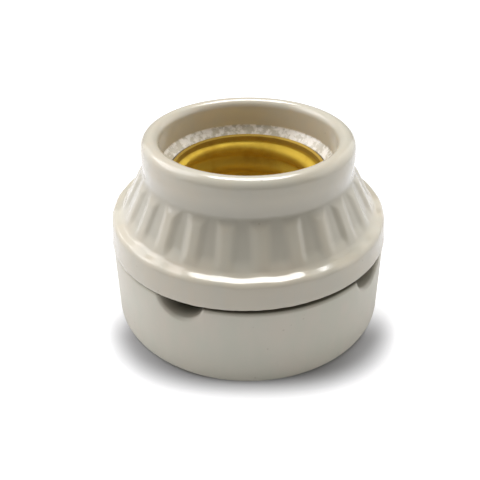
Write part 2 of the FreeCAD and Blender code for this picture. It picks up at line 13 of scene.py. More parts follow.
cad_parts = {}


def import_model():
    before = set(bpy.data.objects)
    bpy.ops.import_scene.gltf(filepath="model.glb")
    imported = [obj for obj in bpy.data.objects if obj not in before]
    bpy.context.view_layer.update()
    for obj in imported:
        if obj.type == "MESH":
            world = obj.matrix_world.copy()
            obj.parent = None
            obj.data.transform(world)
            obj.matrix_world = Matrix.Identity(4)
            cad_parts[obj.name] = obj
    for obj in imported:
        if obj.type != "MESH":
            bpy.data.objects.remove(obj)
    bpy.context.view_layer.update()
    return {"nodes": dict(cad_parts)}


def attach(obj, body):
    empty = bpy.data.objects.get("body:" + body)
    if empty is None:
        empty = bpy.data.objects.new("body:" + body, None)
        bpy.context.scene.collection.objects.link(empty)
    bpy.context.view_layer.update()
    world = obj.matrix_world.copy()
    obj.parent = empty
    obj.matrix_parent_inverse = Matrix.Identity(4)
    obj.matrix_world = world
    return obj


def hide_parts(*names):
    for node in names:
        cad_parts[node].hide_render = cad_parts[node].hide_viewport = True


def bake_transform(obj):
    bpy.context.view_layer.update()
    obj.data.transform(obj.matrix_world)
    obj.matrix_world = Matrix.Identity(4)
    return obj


LOG = logging.getLogger("lamp_holder")
MM = 0.001
WELD = 1e-7
LEVEL = Vector((1.0, 1.0, 0.0))
SHARP_ANGLE = math.radians(40.0)
POLE_X = 7.2
BINDING_X = 17.6
SCREW_HOLE_R = 2.05
WHITE = (1.0, 1.0, 1.0)
Colour = tuple[float, float, float]
Corner = tuple[float, float, float]
Span = tuple[float, float]


class Body(str, Enum):
    """The CAD bodies that pieces ride on."""

    HOLDER = "holder"
    CONTACT = "contact"
    LEFT_SCREW = "left_screw"
    RIGHT_SCREW = "right_screw"


class Slot(str, Enum):
    """Material slot names for the pieces that are made here; nothing in this script uses them."""

    CAP = "cap_porcelain"
    BASE = "base_porcelain"
    SHELL = "shell_brass"
    CONTACT = "contact_brass"
    BUTTON = "button_brass"
    SCREW = "screw_brass"


class Cut(str, Enum):
    """What a boolean step does with its tools."""

    REMOVE = "DIFFERENCE"
    JOIN = "UNION"


# ------------ shader maths


class Signal:
    """A shader socket that Python's operators work on."""

    def __init__(self, graph: "Graph", socket: bpy.types.NodeSocket) -> None:
        """Wraps a socket of a node in graph."""
        self.graph = graph
        self.socket = socket

    def _math(self, operation: str, other: Any, swap: bool = False) -> "Signal":
        """Adds one Math node.

        Args:
            operation: the Math node's operation.
            other: the second value, a number or a signal.
            swap: whether other comes first.

        Returns:
            The node's result.
        """
        values = [other, self] if swap else [self, other]
        return self.graph.node(
            "ShaderNodeMath", {"operation": operation}, dict(enumerate(values))
        ).out(0)

    def __add__(self, other: Any) -> "Signal":
        """Sum."""
        return self._math("ADD", other)

    def __sub__(self, other: Any) -> "Signal":
        """Difference."""
        return self._math("SUBTRACT", other)

    def __rsub__(self, other: Any) -> "Signal":
        """Difference from a number."""
        return self._math("SUBTRACT", other, swap=True)

    def __mul__(self, other: Any) -> "Signal":
        """Product."""
        return self._math("MULTIPLY", other)

    def __pow__(self, other: Any) -> "Signal":
        """Power."""
        return self._math("POWER", other)

    __radd__ = __add__
    __rmul__ = __mul__

    def between(self, low: float, high: float) -> "Signal":
        """Smooth step.

        Args:
            low: where it is 0.
            high: where it is 1.

        Returns:
            The step's value.
        """
        return self.graph.node(
            "ShaderNodeMapRange",
            {"interpolation_type": "SMOOTHSTEP"},
            {"Value": self, "From Min": low, "From Max": high},
        ).out("Result")


class Made:
    """A node that has just been made."""

    def __init__(self, graph: "Graph", node: bpy.types.Node) -> None:
        """Keeps the node and its graph."""
        self.graph = graph
        self.node = node

    def out(self, name: int | str) -> Signal:
        """One of the node's outputs, by number or name."""
        return Signal(self.graph, self.node.outputs[name])


class Graph:
    """The node tree of one material or world."""

    def __init__(self, owner: bpy.types.Material | bpy.types.World) -> None:
        """Empties the owner's tree.

        Args:
            owner: the new material or world.
        """
        self.owner = owner
        owner.use_nodes = True
        self.tree = owner.node_tree
        self.tree.nodes.clear()

    def node(self, kind: str, settings: dict[str, Any], inputs: dict[Any, Any]) -> Made:
        """Adds a node.

        Args:
            kind: the node's type.
            settings: its properties, set before its sockets.
            inputs: values or signals, by socket name or number.

        Returns:
            The node that was made.
        """
        node = self.tree.nodes.new(kind)
        for key, value in settings.items():
            setattr(node, key, value)
        for key, value in inputs.items():
            socket = node.inputs[key]
            if isinstance(value, Signal):
                self.tree.links.new(value.socket, socket)
            elif isinstance(value, tuple) and len(value) == 3 and socket.type == "RGBA":
                socket.default_value = (*value, 1.0)
            else:
                socket.default_value = value
        return Made(self, node)

    def place(self) -> Signal:
        """Object coordinates, in metres."""
        return self.node("ShaderNodeTexCoord", {}, {}).out("Object")

    def stretched(self, vector: Signal, scale: Colour) -> Signal:
        """A vector scaled along each axis."""
        return self.node("ShaderNodeMapping", {}, {"Vector": vector, "Scale": scale}).out(0)

    def reach(self, vector: Signal) -> Signal:
        """Distance from the holder's axis."""
        flat = self.stretched(vector, (1.0, 1.0, 0.0))
        return self.node("ShaderNodeVectorMath", {"operation": "LENGTH"}, {0: flat}).out("Value")

    def height(self, vector: Signal) -> Signal:
        """Height above the floor."""
        return self.node("ShaderNodeSeparateXYZ", {}, {0: vector}).out("Z")

    def noise(self, vector: Signal, size: float, detail: float, rough: float = 0.6) -> Signal:
        """Noise whose blobs are about size metres across.

        Args:
            vector: where to read it.
            size: the blobs' size in metres.
            detail: octaves.
            rough: how strong the finer octaves are.

        Returns:
            A value round 0.5.
        """
        inputs = {"Vector": vector, "Scale": 1.0 / size, "Detail": detail, "Roughness": rough}
        return self.node("ShaderNodeTexNoise", {}, inputs).out(0)

    def specks(self, vector: Signal, size: float, low: float, high: float) -> Signal:
        """Round specks about size metres apart.

        Args:
            vector: where to read them.
            size: their spacing in metres.
            low: distance, in spacings, inside which a speck is full.
            high: distance at which it has faded out.

        Returns:
            1 in a speck and 0 elsewhere.
        """
        cells = self.node("ShaderNodeTexVoronoi", {}, {"Vector": vector, "Scale": 1.0 / size})
        return 1.0 - cells.out("Distance").between(low, high)

    def attribute(self, name: str) -> Signal:
        """A float attribute of the mesh."""
        return self.node("ShaderNodeAttribute", {"attribute_name": name}, {}).out("Fac")

    def mix(self, share: Signal | float, first: Any, second: Any) -> Signal:
        """Two colours mixed by share.

        Args:
            share: 0 for the first and 1 for the second.
            first: a colour or signal.
            second: a colour or signal.

        Returns:
            The mixed colour.
        """
        inputs = {0: share, 6: first, 7: second}
        return self.node("ShaderNodeMix", {"data_type": "RGBA"}, inputs).out(2)

    def bump(self, height: Signal, depth: float) -> Signal:
        """A normal tilted by a height map in which 1 is depth metres tall."""
        return self.node("ShaderNodeBump", {}, {"Height": height, "Distance": depth}).out(0)

    def surface(self, **sockets: Any) -> bpy.types.Material:
        """Ends the tree in a Principled shader.

        Args:
            **sockets: its inputs, with _ for a space in each name.

        Returns:
            The finished material.
        """
        inputs = {name.replace("_", " "): value for name, value in sockets.items()}
        shader = self.node("ShaderNodeBsdfPrincipled", {}, inputs)
        self.node("ShaderNodeOutputMaterial", {}, {"Surface": shader.out(0)})
        return self.owner


# ------------ finishes


@dataclass(frozen=True)
class Zone:
    """A ring round the holder's axis; each side of it is a soft edge, in metres."""

    foot: Span
    top: Span
    outer: Span
    inner: Span | None = None

    def mask(self, r: Signal, z: Signal) -> Signal:
        """How far a place lies inside the ring.

        Args:
            r: its distance from the axis.
            z: its height.

        Returns:
            1 inside and 0 outside.
        """
        inside = (1.0 - r.between(*self.outer)) * z.between(*self.foot)
        inside = inside * (1.0 - z.between(*self.top))
        return inside * r.between(*self.inner) if self.inner else inside


# INNER_WALLS and JOINT are where the glaze gets painted shade: the hidden inner walls and the joint
# between cap and base
INNER_WALLS = Zone((0.0032, 0.0038), (0.0186, 0.0189), (0.0212, 0.0246), (0.0124, 0.0127))
JOINT = Zone((0.0140, 0.0144), (0.0152, 0.0156), (0.0243, 0.0247), (0.0206, 0.0210))
SILL = Zone((0.0264, 0.0267), (0.0281, 0.0284), (0.0151, 0.0154))


@dataclass(frozen=True)
class Glaze:
    """Feldspar glaze over porcelain, with soft mottling and an uneven, glossy skin."""

    name: str
    body: Colour
    warm: Colour
    cool: Colour
    speck: Colour
    pooled_glaze_and_shade: Colour
    gloss: float = 0.16
    coat: float = 0.7
    coat_gloss: float = 0.075
    ripple: float = 0.00007
    # painted shade: the dark colour laid on the hidden inner walls and the cap-to-base joint, where
    # little light reaches
    painted_shade: Colour = (0.085, 0.070, 0.042)
    sill: Colour | None = None
    cloud_size: float = 0.011
    drift_size: float = 0.0042
    grain_size: float = 0.0009
    speck_gap: float = 0.0031
    patch_size: float = 0.0015
    ripple_size: float = 0.0046
    dimple_size: float = 0.0014

    def material(self) -> bpy.types.Material:
        """Mixes the glaze.

        Returns:
            The glaze as a material.
        """
        g = Graph(bpy.data.materials.new(self.name))
        at = g.place()
        r, z = g.reach(at), g.height(at)
        clouds = g.noise(at, self.cloud_size, 3.0, 0.55).between(0.34, 0.66)
        runs = g.stretched(at, (1.0, 1.0, 0.45))
        drift = g.noise(runs, self.drift_size, 4.0).between(0.36, 0.68)
        fine = g.noise(at, self.grain_size, 3.0)
        colour = g.mix(clouds * 0.75, self.body, self.warm)
        colour = g.mix(drift * 0.55, colour, self.cool)
        # darker in the flutes: partly glaze pooled there, partly painted shade
        colour = g.mix(g.attribute("pooled_glaze_and_shade") * 0.62, colour, self.pooled_glaze_and_shade)
        colour = g.mix(g.specks(at, self.speck_gap, 0.035, 0.07) * 0.4, colour, self.speck)
        # painted shade: darkens the hidden inner walls and the joint between cap and base
        for zone in (INNER_WALLS, JOINT):
            colour = g.mix(zone.mask(r, z) * 0.85, colour, self.painted_shade)
        rough = self.gloss + drift * 0.05 + fine * 0.05
        if self.sill:
            band = SILL.mask(r, z)
            patch = g.noise(at, self.patch_size, 3.0).between(0.40, 0.60)
            colour = g.mix(band * 0.95, colour, g.mix(patch, self.body, self.sill))
            rough = rough + band * patch * 0.25
        waves = g.noise(at, self.ripple_size, 2.0, 0.5) * 0.75
        dimples = g.noise(at, self.dimple_size, 2.0, 0.5) * 0.18
        return g.surface(
            Base_Color=colour, Roughness=rough, IOR=1.5, Coat_IOR=1.5,
            Coat_Weight=self.coat, Coat_Roughness=self.coat_gloss,
            Normal=g.bump(waves + dimples + fine * 0.04, self.ripple),
        )


@dataclass(frozen=True)
class Metal:
    """Drawn, turned or plated metal with fine tool marks and a light tarnish."""

    name: str
    bright: Colour
    dull: Colour
    gloss: float
    grain: Colour = (1.0, 1.0, 1.0)
    grain_size: float = 0.0006
    pit_size: float = 0.00035
    marks: float = 0.000006
    stain_size: float = 0.0035
    lip: float | None = None
    lip_width: float = 0.0006
    lip_colour: Colour = (0.34, 0.22, 0.075)

    def material(self) -> bpy.types.Material:
        """Mixes the metal.

        Returns:
            The metal as a material.
        """
        g = Graph(bpy.data.materials.new(self.name))
        at = g.place()
        stain = g.noise(at, self.stain_size, 4.0).between(0.42, 0.72)
        lines = g.noise(g.stretched(at, self.grain), self.grain_size, 3.0)
        fine = g.noise(at, self.pit_size, 2.0, 0.5)
        colour = g.mix(stain * 0.7, self.bright, self.dull)
        colour = g.mix(lines * 0.25, colour, self.dull)
        if self.lip:
            edge = g.height(at).between(self.lip, self.lip + self.lip_width)
            colour = g.mix(edge * 0.55, colour, self.lip_colour)
        rough = self.gloss + stain * 0.12 + lines * 0.08
        normal = g.bump(lines * 0.7 + fine * 0.3, self.marks)
        return g.surface(Base_Color=colour, Metallic=1.0, Roughness=rough, Normal=normal)


@dataclass(frozen=True)
class Pitch:
    """Dark sealing compound, poured hot and wrinkled as it set."""

    name: str = "sealing compound"
    body: Colour = (0.030, 0.022, 0.016)
    dusty: Colour = (0.085, 0.070, 0.055)
    fold_size: float = 0.0011
    fold_depth: float = 0.00012
    dust_size: float = 0.0024

    def material(self) -> bpy.types.Material:
        """Mixes the compound.

        Returns:
            The compound as a material.
        """
        g = Graph(bpy.data.materials.new(self.name))
        at = g.place()
        folds = g.noise(at, self.fold_size, 4.0)
        dust = g.noise(at, self.dust_size, 3.0).between(0.5, 0.75)
        return g.surface(
            Base_Color=g.mix(dust, self.body, self.dusty), Roughness=0.35 + dust * 0.35,
            Normal=g.bump(folds, self.fold_depth),
        )


# ------------ mesh tools


class Shape:
    """One closed mesh in the making."""

    def __init__(self) -> None:
        """Starts with an empty bmesh."""
        self.bm = bmesh.new()

    def wire(self, corners: Sequence[Corner], segments: int = 6) -> "Shape":
        """Draws an open line in the XZ plane and rounds its corners.

        Args:
            corners: (x, z, radius) in millimetres, in order.
            segments: edges in each round.

        Returns:
            The shape itself.
        """
        points = [Vector((x, 0.0, z)) * MM for x, z, _ in corners]
        verts = [self.bm.verts.new(point) for point in points]
        for a, b in zip(verts, verts[1:]):
            self.bm.edges.new((a, b))
        for i, (_, _, radius) in enumerate(corners):
            if radius > 0.0:
                angle = (points[i - 1] - points[i]).angle(points[i + 1] - points[i])
                bmesh.ops.bevel(
                    self.bm, geom=[verts[i]], offset=radius * MM / math.tan(angle / 2),
                    offset_type="OFFSET", segments=segments, profile=0.5, affect="VERTICES",
                    material=-1, clamp_overlap=False,
                )
        return self

    def rows(self, longest: float, test: Callable[[Vector], bool]) -> "Shape":
        """Cuts long edges of the line into rows.

        Args:
            longest: the longest edge to leave, in millimetres.
            test: whether an edge with this middle point, in millimetres, is cut.

        Returns:
            The shape itself.
        """
        for edge in list(self.bm.edges):
            middle = (edge.verts[0].co + edge.verts[1].co) / 2 / MM
            cuts = math.ceil(edge.calc_length() / MM / longest) - 1
            if cuts > 0 and test(middle):
                bmesh.ops.subdivide_edges(self.bm, edges=[edge], cuts=cuts)
        return self

    def spin(self, steps: int) -> "Shape":
        """Turns the line round Z into a closed surface.

        Args:
            steps: columns in the full turn.

        Returns:
            The shape itself.
        """
        geometry = self.bm.verts[:] + self.bm.edges[:]
        bmesh.ops.spin(
            self.bm, geom=geometry, cent=(0.0, 0.0, 0.0), axis=(0.0, 0.0, 1.0), angle=math.tau,
            steps=steps, use_merge=True, use_duplicate=False, use_normal_flip=False,
        )
        return self.weld()

    def weld(self) -> "Shape":
        """Merges doubles and turns the faces outwards.

        Returns:
            The shape itself.
        """
        bmesh.ops.remove_doubles(self.bm, verts=self.bm.verts[:], dist=WELD)
        bmesh.ops.recalc_face_normals(self.bm, faces=self.bm.faces[:])
        return self

    def thicken(self, sheet: float, outward: Callable[[bmesh.types.BMFace], float]) -> "Shape":
        """Gives an open sheet its thickness.

        Args:
            sheet: the thickness in millimetres.
            outward: how far a face looks to the side on which the sheet grows.

        Returns:
            The shape itself.
        """
        faces = self.bm.faces[:]
        bmesh.ops.recalc_face_normals(self.bm, faces=faces)
        if sum(outward(face) for face in faces) > 0:
            bmesh.ops.reverse_faces(self.bm, faces=faces)
        bmesh.ops.solidify(self.bm, geom=faces, thickness=-sheet * MM)
        bmesh.ops.recalc_face_normals(self.bm, faces=self.bm.faces[:])
        return self

    def box(self, low: Corner, high: Corner) -> "Shape":
        """Adds a box.

        Args:
            low: its lowest corner, in millimetres.
            high: its highest corner.

        Returns:
            The shape itself.
        """
        low_v, high_v = Vector(low) * MM, Vector(high) * MM
        middle, size = (low_v + high_v) / 2, high_v - low_v
        place = Matrix.Translation(middle) @ Matrix.Diagonal((*size, 1.0))
        bmesh.ops.create_cube(self.bm, size=1.0, matrix=place)
        return self

    def move(self, matrix: Matrix) -> "Shape":
        """Transforms every vertex."""
        bmesh.ops.transform(self.bm, matrix=matrix, verts=self.bm.verts[:])
        return self

    def push(self, rule: Callable[[Vector], Vector]) -> "Shape":
        """Moves each vertex.

        Args:
            rule: where a place goes, in millimetres.

        Returns:
            The shape itself.
        """
        for vert in self.bm.verts:
            vert.co = rule(vert.co / MM) * MM
        return self

    def soften(self, width: float) -> "Shape":
        """Bevels the sharp edges in two rows.

        Args:
            width: how far back the bevel goes, in millimetres.

        Returns:
            The shape itself.
        """
        sharp = [
            e for e in self.bm.edges
            if len(e.link_faces) == 2 and e.calc_face_angle(0.0) > SHARP_ANGLE
        ]
        bmesh.ops.bevel(
            self.bm, geom=sharp, offset=width * MM, offset_type="OFFSET", segments=2,
            profile=0.5, affect="EDGES", material=-1, clamp_overlap=True,
        )
        return self

    def object(self, name: str) -> bpy.types.Object:
        """Turns the bmesh into a mesh at the origin, smooth but for sharp edges.

        Args:
            name: the object's name.

        Returns:
            The object.
        """
        mesh = bpy.data.meshes.new(name)
        self.bm.to_mesh(mesh)
        self.bm.free()
        made = bpy.data.objects.new(name, mesh)
        bpy.context.scene.collection.objects.link(made)
        smooth(made)
        return made


def smooth(obj: bpy.types.Object, angle: float = 38.0) -> None:
    """Shades a mesh smooth, and sharp at edges over that angle in degrees."""
    obj.data.polygons.foreach_set("use_smooth", [True] * len(obj.data.polygons))
    obj.data.set_sharp_from_angle(angle=math.radians(angle))


def cut(obj: bpy.types.Object, tools: Iterable[Shape], step: Cut) -> None:
    """Applies a boolean step to a mesh.

    Args:
        obj: the mesh that changes.
        tools: closed shapes that don't meet one another.
        step: whether they are removed or joined on.
    """
    modifier = obj.modifiers.new("step", "BOOLEAN")
    modifier.operation = step.value
    modifier.solver = "MANIFOLD"
    helpers = [tool.object(f"tool_{number}") for number, tool in enumerate(tools)]
    group = bpy.data.collections.new("tools")
    for helper in helpers:
        bpy.context.scene.collection.objects.unlink(helper)
        group.objects.link(helper)
    bpy.context.scene.collection.children.link(group)
    modifier.operand_type = "COLLECTION"
    modifier.collection = group
    graph = bpy.context.evaluated_depsgraph_get()
    mesh = bpy.data.meshes.new_from_object(obj.evaluated_get(graph))
    obj.modifiers.clear()
    old, obj.data = obj.data, mesh
    bpy.data.meshes.remove(old)
    for helper in helpers:
        bpy.data.meshes.remove(helper.data)
    bpy.data.collections.remove(group)
    smooth(obj)


def half_drum(radius: float, foot: float, top: float, flat_x: float,
              soft: float = 0.0) -> Shape:
    """A drum with one flat side, as the raised floor and the shell's opening have.

    Args:
        radius: the drum's, in millimetres.
        foot: height of its underside.
        top: height of its upper side.
        flat_x: where its flat side stands.
        soft: radius of its upper edge.

    Returns:
        The closed shape.
    """
    drum = Shape().wire([(0, foot, 0), (radius, foot, 0), (radius, top, soft), (0, top, 0)])
    drum.spin(96)
    geometry = drum.bm.verts[:] + drum.bm.edges[:] + drum.bm.faces[:]
    bmesh.ops.bisect_plane(
        drum.bm, geom=geometry, plane_co=Vector((flat_x, 0, 0)) * MM, plane_no=(-1, 0, 0),
        clear_outer=True,
    )
    rim = [edge for edge in drum.bm.edges if edge.is_boundary]
    bmesh.ops.holes_fill(drum.bm, edges=rim, sides=0)
    return drum.weld()


def turned(profile: Sequence[Corner], steps: int = 64, x: float = 0.0, y: float = 0.0,
           segments: int = 4) -> Shape:
    """A solid of revolution.

    Args:
        profile: (r, z, radius) corners in millimetres, axis to axis.
        steps: columns.
        x: where its axis stands, in millimetres.
        y: likewise.
        segments: edges in each round.

    Returns:
        The closed shape.
    """
    shape = Shape().wire(profile, segments).spin(steps)
    return shape.move(Matrix.Translation(Vector((x, y, 0.0)) * MM))


def bore(steps: Sequence[Corner], x: float = 0.0, y: float = 0.0) -> Shape:
    """A stepped drill's shape, to cut a hole with.

    Args:
        steps: (radius, foot, top) of each step in millimetres, upwards.
        x: where its axis stands.
        y: likewise.

    Returns:
        The closed shape.
    """
    walls = [(radius, z, 0) for radius, *ends in steps for z in ends]
    return turned([(0, steps[0][1], 0), *walls, (0, steps[-1][2], 0)], x=x, y=y)


def step_between(low: float, high: float, value: float) -> float:
    """Smooth step from 0 at low to 1 at high."""
    t = min(1.0, max(0.0, (value - low) / (high - low)))
    return t * t * (3.0 - 2.0 * t)


def dress(obj: bpy.types.Object, material: bpy.types.Material) -> None:
    """Gives a mesh one material in place of those that it has."""
    obj.data.materials.clear()
    obj.data.materials.append(material)


def finish_piece(obj: bpy.types.Object, material: bpy.types.Material, body: Body,
                 node: str) -> None:
    """Dresses a piece and ties it to the frame.

    Args:
        obj: the piece.
        material: its finish.
        body: the CAD body that it rides on.
        node: the CAD node that it stands for.
    """
    dress(obj, material)
    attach(obj, body.value)
    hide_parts(node)
    LOG.info("%s: %d faces", obj.name, len(obj.data.polygons))


# ------------ porcelain


@dataclass
class PorcelainCap:
    """Flange, fluted cone and collar, with the cup that holds the screw shell."""

    finish: Glaze
    flutes: int = 25
    phase: float = 5.1
    columns: int = 16
    rib_core: float = 0.45
    rib_foot: float = 1.95
    flute_depth: float = 0.40
    waviness: float = 0.13
    rib_top: Span = (25.6, 27.2)
    flute_fade: Span = (27.4, 30.6)
    flute_foot: Span = (19.9, 22.2)
    flute_slope: Span = (0.88, 0.47)
    skin_r: float = 17.0
    ledge: float = 19.8
    lift: float = 0.85
    lift_azimuth: float = 32.0
    lift_spread: float = 0.8
    ragged: float = 0.16
    skirt: float = 3.0
    base_rim: float = 14.5

    def profile(self) -> list[Corner]:
        """Corners of the section, from the cup's underside round to its floor.

        Returns:
            (r, z, radius) in millimetres.
        """
        rim = self.base_rim
        return [
            (0.0, 6.9, 0.0), (13.4, 6.9, 0.5), (13.8, 11.8, 0.8), (16.3, 13.6, 1.0),
            (16.3, 18.6, 1.0), (20.9, 18.6, 0.9), (20.9, rim, 0.2), (25.0, rim, 0.45),
            (24.35, 19.55, 0.95), (22.5, 20.0, 1.3), (18.6, 27.2, 1.8), (18.05, 33.2, 1.6),
            (15.15, 33.2, 1.4), (15.15, 28.1, 0.3), (13.85, 26.7, 0.12), (13.85, 12.4, 0.3),
            (12.1, 11.4, 0.3), (12.1, 9.4, 0.4), (0.0, 9.4, 0.0),
        ]

    def scoop(self, at: Vector) -> float:
        """Depth of the flutes, and of the dip in which the ribs end.

        Args:
            at: a place on the outside, in millimetres.

        Returns:
            The depth there.
        """
        pitch = 360.0 / self.flutes
        turn = (math.degrees(math.atan2(at.x, -at.y)) - self.phase) % pitch
        off = math.hypot(at.x, at.y) * math.radians(min(turn, pitch - turn))
        side = step_between(self.rib_core, self.rib_foot, off)
        side = max(side, step_between(*self.rib_top, at.z))
        foot = step_between(*self.flute_foot, at.z)
        return self.flute_depth * side * foot * (1.0 - step_between(*self.flute_fade, at.z))

    def raised(self, at: Vector) -> float:
        """How far the warped flange stands off the base.

        Args:
            at: a place on the flange, in millimetres.

        Returns:
            The rise there.
        """
        off = math.degrees(math.atan2(at.x, -at.y)) - self.lift_azimuth
        lobe = max(0.0, math.cos(math.radians(off) * self.lift_spread)) ** 1.5
        chips = 0.5 + 0.5 * noise.noise(Vector((at.x, at.y, 0.0)) * 0.7)
        low = 1.0 - step_between(self.base_rim, self.base_rim + self.skirt, at.z)
        return low * (self.lift * lobe + self.ragged * chips)

    def wave(self, at: Vector, r: float) -> float:
        """Unevenness of the shoulder, where the glaze has run off the ribs.

        Args:
            at: a place on the cap, in millimetres.
            r: its distance from the axis.

        Returns:
            The rise there.
        """
        on_shoulder = step_between(21.8, 23.0, r) * (1.0 - step_between(20.0, 21.2, at.z))
        azimuth = math.atan2(at.x, -at.y) - math.radians(self.phase)
        lumps = noise.noise(Vector((at.x, at.y, 3.0)) * 0.25)
        return on_shoulder * self.waviness * (lumps + 0.35 * math.cos(self.flutes * azimuth))

    def formed(self, at: Vector) -> Vector:
        """Presses the flutes in and fires the flange.

        Args:
            at: a place on the plain cap, in millimetres.

        Returns:
            Where it goes.
        """
        r = math.hypot(at.x, at.y)
        if r > 20.5 and at.z < self.base_rim + self.skirt:
            return at + Vector((0.0, 0.0, self.raised(at)))
        if r <= self.skin_r or not 18.6 < at.z < self.flute_fade[1]:
            return at
        flat, down = self.flute_slope
        inward = Vector((-at.x / r * flat, -at.y / r * flat, -down))
        return at + inward * self.scoop(at) + Vector((0.0, 0.0, self.wave(at, r)))

    def mark_hollows(self, obj: bpy.types.Object) -> None:
        """Writes how deep each vertex lies in a flute, for the glaze that pools there and for
        painted shade in the flutes.

        Args:
            obj: the cap.
        """
        values = []
        for vert in obj.data.vertices:
            at = vert.co / MM
            on_cone = math.hypot(at.x, at.y) > self.skin_r and self.ledge < at.z
            fluted = on_cone and at.z < self.flute_fade[1]
            values.append(min(1.0, self.scoop(at) / self.flute_depth) if fluted else 0.0)
        layer = obj.data.attributes.new("pooled_glaze_and_shade", "FLOAT", "POINT")
        layer.data.foreach_set("value", values)

    def holes(self) -> list[Shape]:
        """Well under the button, screw holes, and sockets for the pillars.

        Returns:
            The shapes to cut away.
        """
        well = turned([(0, 7.7, 0), (3.6, 7.7, 0.2), (3.6, 12.0, 0), (0, 12.0, 0)])
        poles = [bore([(2.9, 6.0, 8.4), (SCREW_HOLE_R, 8.4, 12.0)], x=x) for x in (-POLE_X, POLE_X)]
        return [well, *poles]

    def build(self) -> None:
        """Makes the cap and ties it to the frame."""
        shape = Shape().wire(self.profile(), 7)
        shape.rows(0.32, lambda at: at.x > self.skin_r and self.ledge < at.z < 30.8)
        shape.rows(1.2, lambda at: at.x > self.skin_r)
        shape.spin(self.flutes * self.columns)
        shape.move(Matrix.Rotation(math.radians(self.phase), 4, "Z"))
        shape.push(self.formed)
        obj = shape.weld().object("porcelain_cap")
        island = half_drum(10.4, 9.0, 10.0, flat_x=-3.0, soft=0.15)
        strip_channel = Shape().box((-6.0, -3.1, 9.4), (10.6, 3.1, 10.6))
        cut(obj, [island], Cut.JOIN)
        cut(obj, [strip_channel], Cut.REMOVE)
        cut(obj, self.holes(), Cut.REMOVE)
        self.mark_hollows(obj)
        finish_piece(obj, self.finish.material(), Body.HOLDER, "cap")


@dataclass
class PorcelainBase:
    """Round dish with a foot ring and four softened wire notches."""

    finish: Glaze
    outer_r: float = 24.8
    foot_r: float = 25.25
    bore_r: float = 21.25
    height: float = 14.5
    steps: int = 360
    notch_azimuth: float = 40.2
    notch_r: float = 4.1
    notch_rise: float = 1.2
    notch_flare: float = 0.25
    notch_soft: float = 0.35
    reach: float = 17.0
    low: float = 8.6
    fixing_y: float = 16.4
    plate_screw_x: float = 12.4
    bed_ends: Span = (3.6, 21.9)

    def profile(self) -> list[Corner]:
        """Corners of the section, from the underside round to the floor.

        Returns:
            (r, z, radius) in millimetres.
        """
        return [
            (0.0, 0.8, 0.0), (21.55, 0.8, 0.25), (21.55, 0.0, 0.25), (self.foot_r, 0.0, 0.9),
            (self.outer_r, self.height, 0.6), (self.bore_r, self.height, 0.3),
            (self.bore_r, 4.0, 0.9), (0.0, 4.0, 0.0),
        ]

    def outline(self, share: float, r: float) -> Span:
        """The notch's edge: distance from its middle line, and height.

        Args:
            share: 0 at the notch's bottom and 1 where the rim is plain again.
            r: distance from the holder's axis, in millimetres.

        Returns:
            (distance, height) in millimetres.
        """
        flare_from = self.outer_r - self.notch_flare
        notch = self.notch_r + 0.5 * (r - flare_from + math.hypot(r - flare_from, 0.3))
        soft, rise = self.notch_soft, self.notch_rise
        centre = self.height + rise
        far = math.sqrt((notch + soft) ** 2 - (rise + soft) ** 2)
        lean = math.asin((rise + soft) / (notch + soft))
        if share < 0.5:
            angle = (math.pi / 2 - lean) * share / 0.5
            return notch * math.sin(angle), centre - notch * math.cos(angle)
        if share < 0.68:
            angle = math.pi - lean + (lean - math.pi / 2) * (share - 0.5) / 0.18
            return far + soft * math.cos(angle), self.height - soft + soft * math.sin(angle)
        edge = r * math.sin(math.radians(self.reach))
        return far + (edge - far) * (share - 0.68) / 0.32, self.height

    def notched(self, at: Vector) -> Vector:
        """Presses the notches into the rim.

        Args:
            at: a place on the plain base, in millimetres.

        Returns:
            Where it goes.
        """
        r = math.hypot(at.x, at.y)
        if r < 17.0:
            return at
        azimuth = math.degrees(math.atan2(at.x, -at.y))
        places = [s * self.notch_azimuth + turn for s in (-1, 1) for turn in (0.0, 180.0)]
        offs = [((azimuth - place + 180.0) % 360.0 - 180.0, place) for place in places]
        off, place = min(offs, key=lambda pair: abs(pair[0]))
        if abs(off) >= self.reach:
            return at
        along, top = self.outline(abs(off) / self.reach, r)
        angle = math.radians(place) + math.copysign(math.asin(along / r), off)
        share = max(0.0, at.z - self.low) / (self.height - self.low)
        return Vector((r * math.sin(angle), -r * math.cos(angle),
                       at.z + share * (top - self.height)))

    def added(self) -> list[Shape]:
        """Barrier between the poles, bosses round the fixing holes and the plates' beds.

        Returns:
            The shapes to join on.
        """
        boss = [(0, 1.8, 0), (4.3, 1.8, 0), (4.3, 4.8, 0.3), (0, 4.8, 0)]
        made = [Shape().box((-1.5, -12.3, 1.8), (1.5, 12.3, 6.6)).soften(0.25)]
        for side in (-1, 1):
            made.append(turned(boss, y=self.fixing_y * side))
            low, high = sorted(end * side for end in self.bed_ends)
            made.append(Shape().box((low, -4.5, 3.0), (high, 4.5, 5.0)).soften(0.2))
        return made

    def holes(self) -> list[Shape]:
        """Fixing holes, counterbores, and room under the plates.

        Returns:
            The shapes to cut away.
        """
        made = []
        for side in (-1, 1):
            made.append(bore([(2.3, -1, 6)], y=self.fixing_y * side))
            made.append(bore([(SCREW_HOLE_R, 4.0, 6)], x=POLE_X * side))
            made.append(bore([(2.6, -1, 2.5), (1.7, 2.5, 6)], x=self.plate_screw_x * side))
            made.append(bore([(SCREW_HOLE_R, 3.0, 3.7), (3.0, 3.7, 6)], x=BINDING_X * side))
        return made

    def build(self) -> None:
        """Makes the base and ties it to the frame."""
        shape = Shape().wire(self.profile(), 6)
        shape.rows(0.8, lambda at: at.x > 17.0 and at.z > self.low - 0.6)
        shape.rows(1.6, lambda at: at.x > 21.0)
        shape.spin(self.steps)
        shape.push(self.notched)
        obj = shape.weld().object("porcelain_base")
        cut(obj, self.added(), Cut.JOIN)
        cut(obj, self.holes(), Cut.REMOVE)
        finish_piece(obj, self.finish.material(), Body.HOLDER, "base")


# ------------ metal


